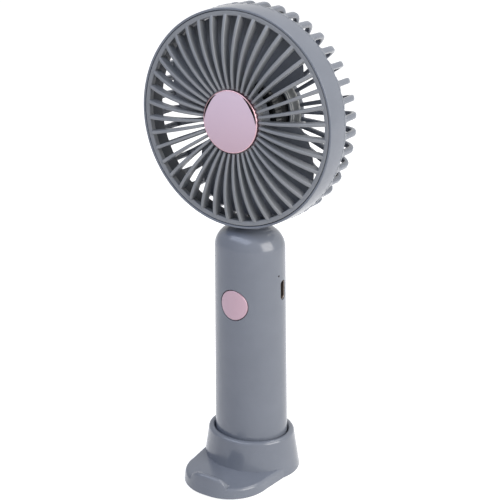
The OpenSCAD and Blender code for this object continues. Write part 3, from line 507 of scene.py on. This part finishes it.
def makeRearCage():
    g = cage
    lipIn, bezelBack = g["frontR"] - g["lip"], rimA - grille["bezelDepth"]
    band = [(g["ductR"], g["bandBack"]), (bandR, g["bandBack"]), (g["frontR"], rimA), (lipIn, rimA),
            (lipIn, bezelBack), (g["ductR"], bezelBack)]
    ribFront, grooveA = g["rear"] + g["ribThick"], hubBackA + g["grooveDeep"]
    seat = ribFront + g["seatLift"]
    hub = [(pinR, hubBackA), (g["grooveIn"], hubBackA), (g["grooveIn"] + g["grooveSlope"], grooveA),
           (g["grooveOut"] - g["grooveSlope"], grooveA), (g["grooveOut"], hubBackA), (g["hubR"], hubBackA),
           (g["hubR"], seat), (g["cupR"], seat), (g["cupR"], g["cupFront"]), (g["cupIn"], g["cupFront"]),
           (g["cupIn"], g["cupFloor"]), (pinR, g["cupFloor"])]
    # The closed sector above the neck: in along the outside and back along the inside
    bandEnd, hubEnd = g["bandBack"] + g["sectorLap"], g["hubR"] - g["hubLap"]
    sector = [(bandR, bandEnd)] + [cornerPoint(g["cornerR"], b) for b in quarter(8)]
    sector += [(hubEnd, g["rear"]), (hubEnd, ribFront)]
    sector += [cornerPoint(g["cornerR"] - g["ribThick"], b) for b in quarter(8)[::-1]]
    sector += [(bandR - g["ribThick"], bandEnd)]
    half = g["sector"] / 2
    shells = [turned(rounded(band, g["bandRound"]), steps=240),
              turned(rounded(hub, g["hubRound"]), steps=96),
              turned(sector, steps=12, start=g["sectorAt"] - half, sweep=g["sector"])]
    shells += [rearRib(math.radians(turn)) for turn in ribAngles if abs(turn - g["sectorAt"]) > half]
    shells.append(neckShell())
    piece = addPiece("rearCage", gather(shells), greyAbs, "fan", "rear_cage")
    paintCageLightAndShade(piece)


makeRearCage()
print("rear cage made")

# Centre cap: a low pearl dome with a polished round edge, and two dark crescents of painted reflection,
# shallow dips whose floor is lined in black. A crescent is given by its middle and its half length in
# degrees, and closes to a fine seam at its ends
cap = dict(radius=14.2, bend=0.48, seat=rimA + 0.62, crown=rimA + 3.1, drop=0.51, faceR=12.6, seamIn=13.4,
           seamMid=13.5, seamDeep=0.005, crescentIn=12.7, crescentWall=12.75, crescentOut=13.55, crescentDeep=0.9,
           paintedCrescents=((151, 38), (30, 38)), steps=180, trimMargin=0.03, paintedDarkBelow=0.12)


def makeCentreCap():
    g = cap
    edgeR = g["radius"] - g["bend"]

    def dome(r):
        return g["crown"] - g["drop"] * (r / edgeR) ** 2

    def crescentShare(degrees):
        nearest = max(1 - abs(degrees - mid) / half for mid, half in g["paintedCrescents"])
        return math.sin(math.pi / 2 * max(0, nearest)) ** 2

    # Radius and station of each ring, at the seam and where a crescent is widest
    disc = [(max(pinR, g["faceR"] * k / 20), dome(g["faceR"] * k / 20)) for k in range(21)]
    crescentRings = [((g["seamIn"], dome(g["seamIn"])), (g["crescentIn"], dome(g["crescentIn"])))]
    for seamR, crescentR in ((g["seamMid"], g["crescentWall"]), (g["crescentOut"], g["crescentOut"])):
        level = dome(seamR) - g["seamDeep"]
        crescentRings.append(((seamR, level), (crescentR, level - g["crescentDeep"])))
    edge = [(edgeR + g["bend"] * math.sin(t), dome(edgeR) - g["bend"] * (1 - math.cos(t)))
            for t in quarter(6)]
    edge += [(g["radius"], g["seat"]), (pinR, g["seat"])]
    rings = []
    for (shutR, shutA), (dipR, dipA) in [(p, p) for p in disc] + crescentRings + [(p, p) for p in edge]:
        ring = []
        for degrees in (360 * k / g["steps"] for k in range(g["steps"])):
            share = crescentShare(degrees)
            ring.append(spokePoint(math.radians(degrees), shutR + (dipR - shutR) * share,
                                   shutA + (dipA - shutA) * share))
        rings.append(ring)
    piece = addPiece("centreCap", loft(rings), pearlPink, "fan", "centre_cap")
    piece.data.materials.append(roseGold)
    piece.data.materials.append(blackNylon)
    # The round edge takes the rose gold, and the floor of each crescent takes the black as a painted dark
    # reflection
    for face in piece.data.polygons:
        spot = (face.center - fanAxis) / mm
        r = math.hypot(spot.x, spot.z)
        if r > edgeR - g["trimMargin"]:
            face.material_index = 1
        elif r > g["faceR"] and -spot.y < dome(r) - g["paintedDarkBelow"]:
            face.material_index = 2


makeCentreCap()
print("centre cap made")

# Impeller: hub with a rounded nose and two petal blades that wind round the hub, with angles in degrees
impeller = dict(blades=2, mid=108.0, sweep=148.0, petalR=34.6, petalReach=23.0, front=rimA - 5.4,
                height=9.6, rootR=12.9, tipR=46.2, tipRound=2.5, rakeR=26.0, rake=14.0,
                thick=1.1, thickIn=1.2, thinning=0.4, edgePower=20,
                clear=motorR + 1.1, swingFrom=1.2, swingRun=0.8, stations=24, along=48,
                hubR=13.5, hubBack=rimA - 10.5, hubFront=rimA - 3.4, hubRound=1.6,
                recessR=4.6, recess=rimA - 8.9)


# Angle from the blade's middle, and station, at a radius and at -1 to 1 from trailing to leading edge
def bladePlace(r, across):
    g = impeller
    turn = (r ** 2 + g["petalReach"] ** 2 - g["petalR"] ** 2) / (2 * r * g["petalReach"])
    reach = min(g["sweep"] / 2, math.degrees(math.acos(max(-1, min(1, turn)))))
    if across > 0:
        reach -= g["rake"] * max(0, r - g["rakeR"]) / (g["tipR"] - g["rakeR"])
    into = max(0, r - (g["tipR"] - g["tipRound"]))
    cut = g["tipRound"] - math.sqrt(max(0, g["tipRound"] ** 2 - into ** 2))
    angle = across * (reach - math.degrees(cut / r))
    return angle, g["front"] - g["height"] * (0.5 - angle / g["sweep"])


def blade(mid):
    g = impeller
    rings = []
    for i in range(g["stations"]):
        share = math.sin(math.pi / 2 * i / (g["stations"] - 1))
        upper, lower = [], []
        for k in range(g["along"] + 1):
            across = -math.cos(math.pi * k / g["along"])
            # Behind the hub the inner edge swings out round the motor
            behind = g["hubBack"] + g["swingFrom"] - bladePlace(g["clear"], across)[1]
            swing = min(1, max(0, behind / g["swingRun"]))
            rootR = g["rootR"] + (g["clear"] - g["rootR"]) * swing * swing * (3 - 2 * swing)
            r = rootR + (g["tipR"] - rootR) * share
            degrees, a = bladePlace(r, across)
            angle = math.radians(mid + degrees)
            half = g["thick"] / 2 * math.sqrt(max(0.0, 1 - across ** g["edgePower"]))
            half *= g["thickIn"] - g["thinning"] * r / g["tipR"]
            slope = math.atan2(g["height"], math.radians(g["sweep"]) * r)
            shift, lift = -half * math.sin(slope) / r, half * math.cos(slope)
            upper.append(spokePoint(angle + shift, r, a + lift))
            lower.append(spokePoint(angle - shift, r, a - lift))
        rings.append(upper + lower[-2:0:-1])
    return loft(rings)


def makeImpeller():
    g = impeller
    hub = [(g["recessR"], g["hubBack"]), (g["hubR"], g["hubBack"]), (g["hubR"], g["hubFront"]),
           (pinR, g["hubFront"]), (pinR, g["recess"]), (g["recessR"], g["recess"])]
    shells = [turned(rounded(hub, g["hubRound"], steps=6), steps=96)]
    shells += [blade(g["mid"] + 360 / g["blades"] * i) for i in range(g["blades"])]
    # The impeller takes the darker copy of the ABS, as painted shade
    addPiece("impellerFan", gather(shells), shadedGreyAbs, "rotor", "impeller")


makeImpeller()
print("impeller made")

# Handle: oval tube, slightly tapered, with a full shoulder. Its openings for button, slot, lamp and neck are
# cut from one end of their reach to the other
handle = dict(topHalf=17.3, shoulder=10.0, wall=2.0, buttonZ=88.4, holeR=7.6, usbZ=94.5, usbY=0.9,
              usbHalf=2.0, usbRun=2.87, lampZ=102.2, lampY=-2.3, lampR=0.5, neckHole=4.5,
              frontCut=(-30, -5), sideCut=(10, 30), topCut=(-4, 3))
handleFlat = (handleHigh.y - handleLow.y) / (handleHigh.x - handleLow.x)
handleBase = (handleHigh.x - handleLow.x) / 2 / mm
handleFoot, handleTop = handleLow.z / mm, handleHigh.z / mm
bendZ = handleTop - handle["shoulder"]


# Half width of the handle at a height below the shoulder
def handleHalf(z):
    return handleBase + (handle["topHalf"] - handleBase) * (z - handleFoot) / (bendZ - handleFoot)


def handleProfile(inset):
    flatR, bendR = handle["topHalf"] - handle["shoulder"], handle["shoulder"] - inset
    levels = [handleFoot + (bendZ - handleFoot) * k / 30 for k in range(31)]
    points = [(handleHalf(z) - inset, z) for z in levels]
    points += [(flatR + bendR * math.cos(b), bendZ + bendR * math.sin(b)) for b in quarter(16, first=1)]
    return points + [(flatR * share, points[-1][1]) for share in (0.5, 0.01)]


def ovalRings(profile):
    oval = [(math.cos(t), handleFlat * math.sin(t)) for t in fullTurn(160)]
    return [[standPoint(r * x, r * y, z) for x, y in oval] for r, z in profile]


def rod(ends, radius, steps=64):
    along = (ends[1] - ends[0]).normalized()
    side = along.orthogonal().normalized()
    other = along.cross(side)
    circle = [(side * math.cos(t) + other * math.sin(t)) * radius * mm for t in fullTurn(steps)]
    return loft([[end + p for p in circle] for end in ends])


# Ring of the upright slot, drawn in or out by its half width
def slotRing(half, x, steps=16):
    g = handle
    outline = []
    for k in range(steps + 1):
        t = math.pi * k / steps
        outline.append((half * math.cos(t), g["usbRun"] + half * math.sin(t)))
    outline += [(-u, -v) for u, v in outline]
    return [standPoint(x, g["usbY"] + u, g["usbZ"] + v) for u, v in outline]


def makeHandle():
    g = handle
    outer, inner = (ovalRings(handleProfile(inset)) for inset in (0, g["wall"]))
    shell = loft(outer + inner[::-1], loop=True)
    piece = addPiece("handleBody", shell, greyAbs, "fan", "handle_body")
    cuts = [rod([standPoint(0, y, g["buttonZ"]) for y in g["frontCut"]], g["holeR"], 96),
            loft([slotRing(g["usbHalf"], x) for x in g["sideCut"]]),
            rod([standPoint(x, g["lampY"], g["lampZ"]) for x in g["sideCut"]], g["lampR"], 32),
            rod([standPoint(0, 0, handleTop + z) for z in g["topCut"]], g["neckHole"])]
    for cut in cuts:
        combine(piece, cut, "DIFFERENCE")
    keepNormals(piece, [shell])


makeHandle()
print("handle made")

# USB socket: a drawn steel shell whose rolled mouth stands a little inside the slot
usb = dict(half=1.88, wall=0.3, sunk=0.3, roll=0.12)


def makeUsbShell():
    g = usb
    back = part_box("usb_socket")[0].x / mm
    mouth, inside = handle["topHalf"] - g["sunk"], g["half"] - g["wall"]
    stations = [(g["half"], back), (g["half"], mouth - g["roll"]), (g["half"] - g["roll"], mouth),
                (inside + g["roll"], mouth), (inside, mouth - g["roll"]), (inside, back + g["wall"])]
    shell = loft([slotRing(half, x) for half, x in stations])
    addPiece("usbShell", shell, tinnedSteel, "fan", "usb_socket")


makeUsbShell()
print("usb shell made")

# Button: a pearl disc that follows the handle's curve, with its flange and plunger behind
button = dict(radius=7.2, middle=0.02, proud=0.2, edge=0.4, flangeR=8.4, flangeY=-11.0, flangeT=1.0,
              plungerR=2.0, plungerEnd=-6.6)


def makeButton():
    g = button

    def circle(r):
        return [(r * math.cos(t), handle["buttonZ"] + r * math.sin(t)) for t in fullTurn(72)]

    # A ring on the handle's curve, or set back from it by the drop
    def curved(r, drop=0.0):
        ring = []
        for x, z in circle(r):
            half = handleHalf(z) + g["proud"]
            ring.append(standPoint(x, drop - handleFlat * math.sqrt(half * half - x * x), z))
        return ring

    faceR, flangeBack = g["radius"] - g["edge"], g["flangeY"] + g["flangeT"]
    rings = [curved(max(g["middle"], faceR * k / 12)) for k in range(13)]
    rings += [curved(faceR + g["edge"] * math.sin(t), g["edge"] * (1 - math.cos(t)))
              for t in quarter(4, first=1)]
    for r, y in ((g["radius"], g["flangeY"]), (g["flangeR"], g["flangeY"]), (g["flangeR"], flangeBack),
                 (g["plungerR"], flangeBack), (g["plungerR"], g["plungerEnd"])):
        rings.append([standPoint(x, y, z) for x, z in circle(r)])
    addPiece("powerButton", loft(rings), pearlPink, "button", "power_button")


makeButton()
print("button made")

# Dock: foot with a rounded top edge, collar with a round rim, and the raised lip that stops a phone
dockLow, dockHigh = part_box("dock_body")
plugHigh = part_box("handle_end_cap")[1]
socketGap = 0.3
dock = dict(bottom=dockLow.z / mm, top=6.0, reach=(axisY - dockLow.y) / mm, halfW=23.4, frontHalfW=21.1,
            cornerR=19.5, edge=1.5, heel=0.4, draft=0.45, recess=2.2, recessZ=(-1, 3.2),
            wall=3.0, rim=dockHigh.z / mm, rimOut=1.7, rimIn=1.0,
            socketX=plugHigh.x / mm + socketGap,
            socketY=(plugHigh.y - axisY) / mm + socketGap * handleFlat,
            floor=5.0, floorRings=(0.0, -6.0, -15.3), boreOut=1.4, boreZ=(4.2, 9.0))
dock["flare"] = dockHigh.x / mm - dock["socketX"] - dock["wall"]
dock["cornerX"] = dock["frontHalfW"] - dock["cornerR"]
dock["cornerY"] = dock["cornerR"] - dock["reach"]
# The lip is an arch from side to side, and sinks a little into the foot where it ends
lip = dict(half=9.9, high=5.0, archBend=3.6, archFall=0.6, back=-34.3, toe=1.6, root=2.0, sink=0.3,
           skin=0.03, crest=0.3, edge=1.6, edgeLeast=0.05, edgeDepth=0.45, edgeRise=0.3, slices=96)


# Plan of the foot in front of the handle axis, drawn in by an even margin
def footPlan(margin):
    g = dock
    r, half = g["cornerR"] - margin, g["halfW"] - margin
    points = [(half - (half - g["cornerX"] - r) * k / 10, g["cornerY"] * k / 10) for k in range(10)]
    points += [(g["cornerX"] + r * math.cos(t), g["cornerY"] - r * math.sin(t)) for t in quarter(40)]
    return points + [(-x, y) for x, y in points[::-1]]


# Oval ring about the handle's socket, drawn out by an offset
def collarRing(offset, z, steps=144):
    wide, deep = dock["socketX"] + offset, dock["socketY"] + offset
    return [standPoint(wide * math.cos(t), deep * math.sin(t), z) for t in fullTurn(steps)]


def footShell():
    g = dock
    base, high = g["bottom"] + g["heel"], g["top"] - g["edge"]
    levels = [(g["heel"] - g["draft"], g["bottom"])]
    levels += [(-g["draft"] * (1 - k / 4), base + (high - base) * k / 4) for k in range(5)]
    levels += [(g["edge"] * (1 - math.cos(t)), high + g["edge"] * math.sin(t))
               for t in quarter(6, first=1)]
    return loft([[standPoint(x, y, z) for x, y in footPlan(margin)] for margin, z in levels])


def collarShell():
    g = dock
    base, high = g["bottom"] + g["heel"], g["rim"] - g["rimOut"]
    outline = [(g["wall"] + g["flare"] - g["heel"], g["bottom"])]
    outline += [(g["wall"] + g["flare"] * (1 - k / 12), base + (high - base) * k / 12) for k in range(13)]
    outline += [(g["wall"] - g["rimOut"] * (1 - math.cos(t)), high + g["rimOut"] * math.sin(t))
                for t in quarter(7, first=1)]
    outline += [(g["rimIn"] * (1 - math.sin(t)), g["rim"] - g["rimIn"] * (1 - math.cos(t)))
                for t in quarter(5)]
    outline += [(offset, g["floor"]) for offset in g["floorRings"]]
    return loft([collarRing(offset, z) for offset, z in outline])


# Slices from side to side, each with a round front edge and a soft fall to the toe
def lipShell():
    g = lip
    low, toe = dock["top"] - g["sink"], g["back"] + g["toe"]
    rings = []
    for i in range(g["slices"] + 1):
        across = math.sin(math.pi * (i / g["slices"] - 0.5))
        x = g["half"] * across
        high = g["high"] * (1 - abs(across) ** g["archBend"]) ** g["archFall"]
        top = dock["top"] + high if high > 0 else low
        beyond = max(0, abs(x) - dock["cornerX"])
        frontY = dock["cornerY"] - math.sqrt(dock["cornerR"] ** 2 - beyond ** 2) + g["skin"]
        room = g["edgeDepth"] * (g["back"] - frontY)
        edge = max(g["edgeLeast"], min(g["edge"], room, g["edgeRise"] * high + g["edgeLeast"]))
        crest = frontY + edge + g["crest"]
        section = [(frontY, g["root"])]
        section += [(frontY + edge * (1 - math.cos(t)), top - edge * (1 - math.sin(t)))
                    for t in quarter(5)]
        for share in (k / 12 for k in range(13)):
            fall = 0.5 + 0.5 * math.cos(math.pi * share)
            section.append((crest + (toe - crest) * share, low + (top - low) * fall))
        section.append((toe, g["root"]))
        rings.append([standPoint(x, y, z) for y, z in section])
    return loft(rings)


def makeDock():
    g = dock
    foot, collar, swell = footShell(), collarShell(), lipShell()
    bore = loft([collarRing(g["boreOut"], z, 96) for z in g["boreZ"]])
    recessFront = loft([[standPoint(x, y, z) for x, y in footPlan(g["recess"])] for z in g["recessZ"]])
    recessBack = loft([collarRing(g["wall"] + g["flare"] / 2 - g["recess"], z) for z in g["recessZ"]])
    piece = addPiece("dockBody", foot, greyAbs, "dock", "dock_body")
    for shell, operation in ((bore, "DIFFERENCE"), (collar, "UNION"), (swell, "UNION"),
                             (recessFront, "DIFFERENCE"), (recessBack, "DIFFERENCE")):
        combine(piece, shell, operation)
    keepNormals(piece, [foot, collar, swell])


makeDock()
print("dock made")

# The other pieces keep their solids and take the finish of what they are made of, except the inner carrier
# and the dock plate, which take the darker copy of the ABS as painted shade
finishes = {
    "motor_shaft": nickelSteel, "armature": copper, "commutator": copper, "motor_can": blackEnamel,
    "magnet_ring": ferrite, "motor_end_cap": blackNylon, "motor_brushes": copper, "motor_bushes": bronze,
    "motor_leads": blackNylon, "neck_nut": nickelSteel, "inner_carrier": shadedGreyAbs,
    "battery_cell": shrinkSleeve, "battery_tabs": nickelSteel, "battery_leads": blackNylon,
    "circuit_board": solderMask, "board_components": blackNylon, "board_screws": nickelSteel,
    "tact_switch": blackNylon, "switch_stem": ivoryAcetal, "usb_tongue": blackNylon,
    "charge_led": ivoryAcetal, "light_pipe": smokedPc, "handle_end_cap": greyAbs,
    "end_cap_screws": nickelSteel, "dock_plate": shadedGreyAbs, "dock_pads": siliconeRubber,
}
for name, material in finishes.items():
    for slot in nodes[name].material_slots:
        slot.material = material
print("solids finished")

# Floor and light: a white paper sweep and three soft boxes, a long cool one at the upper left, a square
# one on the right and a small one above and behind. Lengths are in metres, but aimZ is in millimetres
stage = dict(floorSize=12.0, floorTone="#d8d8d8", floorRough=0.5, floorGlow=0.85, worldTone="#f2f5ff",
             worldLight=0.225, white="#ffffff", aimZ=110)
lamps = dict(
    boxLeft=dict(place=(-0.32, -0.65, 0.95), size=(1.2, 0.45), power=5.0, tone="#dde7ff"),
    boxRight=dict(place=(1.0, -0.2, 0.5), size=(0.8, 0.8), power=10.4, tone="#fffbf6"),
    boxTop=dict(place=(0.25, 0.35, 1.0), size=(0.6, 0.4), power=2.5, tone="#fffbf6"),
)


# One for rays that see the surroundings, straight, mirrored or through something clear
def seenRay(tree):
    path = addNode(tree, "ShaderNodeLightPath")
    seen = path.outputs["Is Camera Ray"]
    for kind in ("Is Glossy Ray", "Is Transmission Ray"):
        pair = {0: seen, 1: path.outputs[kind]}
        seen = addNode(tree, "ShaderNodeMath", links=pair, operation="MAXIMUM").outputs[0]
    return seen


def makeFloor():
    half = stage["floorSize"] / 2
    corners = [(-half, -half, 0), (half, -half, 0), (half, half, 0), (-half, half, 0)]
    mesh = bpy.data.meshes.new("floor")
    mesh.from_pydata(corners, [], [(0, 1, 2, 3)])
    # Matt white paper: pure white to the eye, and it takes the soft shadow
    material = bpy.data.materials.new("paperSweep")
    material.use_nodes = True
    tree = material.node_tree
    tree.nodes.clear()
    matt = {"Color": linear(stage["floorTone"]), "Roughness": stage["floorRough"]}
    paper = addNode(tree, "ShaderNodeBsdfDiffuse", matt)
    seen = seenRay(tree)
    glow = addNode(tree, "ShaderNodeMath", {1: stage["floorGlow"]}, {0: seen}, operation="MULTIPLY")
    white = {"Color": linear(stage["white"])}
    light = addNode(tree, "ShaderNodeEmission", white, {"Strength": glow.outputs[0]})
    both = addNode(tree, "ShaderNodeAddShader", links={0: paper.outputs[0], 1: light.outputs[0]})
    addNode(tree, "ShaderNodeOutputMaterial", links={"Surface": both.outputs[0]})
    mesh.materials.append(material)
    floor = bpy.data.objects.new("floor", mesh)
    bpy.context.scene.collection.objects.link(floor)


def makeWorld():
    world = bpy.data.worlds.new("studio")
    world.use_nodes = True
    tree = world.node_tree
    tree.nodes.clear()
    dim = {"Color": linear(stage["worldTone"]), "Strength": stage["worldLight"]}
    fill = addNode(tree, "ShaderNodeBackground", dim)
    white = addNode(tree, "ShaderNodeBackground", {"Color": linear(stage["white"]), "Strength": 1.0})
    either = {0: seenRay(tree), 1: fill.outputs[0], 2: white.outputs[0]}
    mix = addNode(tree, "ShaderNodeMixShader", links=either)
    addNode(tree, "ShaderNodeOutputWorld", links={"Surface": mix.outputs[0]})
    bpy.context.scene.world = world


def makeLamps():
    aim = standPoint(0, 0, stage["aimZ"])
    for name, g in lamps.items():
        data = bpy.data.lights.new(name, "AREA")
        data.shape = "RECTANGLE"
        data.size, data.size_y = g["size"]
        data.energy = g["power"]
        data.color = linear(g["tone"])[:3]
        lamp = bpy.data.objects.new(name, data)
        lamp.location = Vector(g["place"]) + Vector((0, axisY, 0))
        lamp.rotation_euler = (aim - lamp.location).to_track_quat("-Z", "Y").to_euler()
        bpy.context.scene.collection.objects.link(lamp)


makeFloor()
makeWorld()
makeLamps()
bpy.context.scene.view_settings.view_transform = "Standard"
print("stage lit")
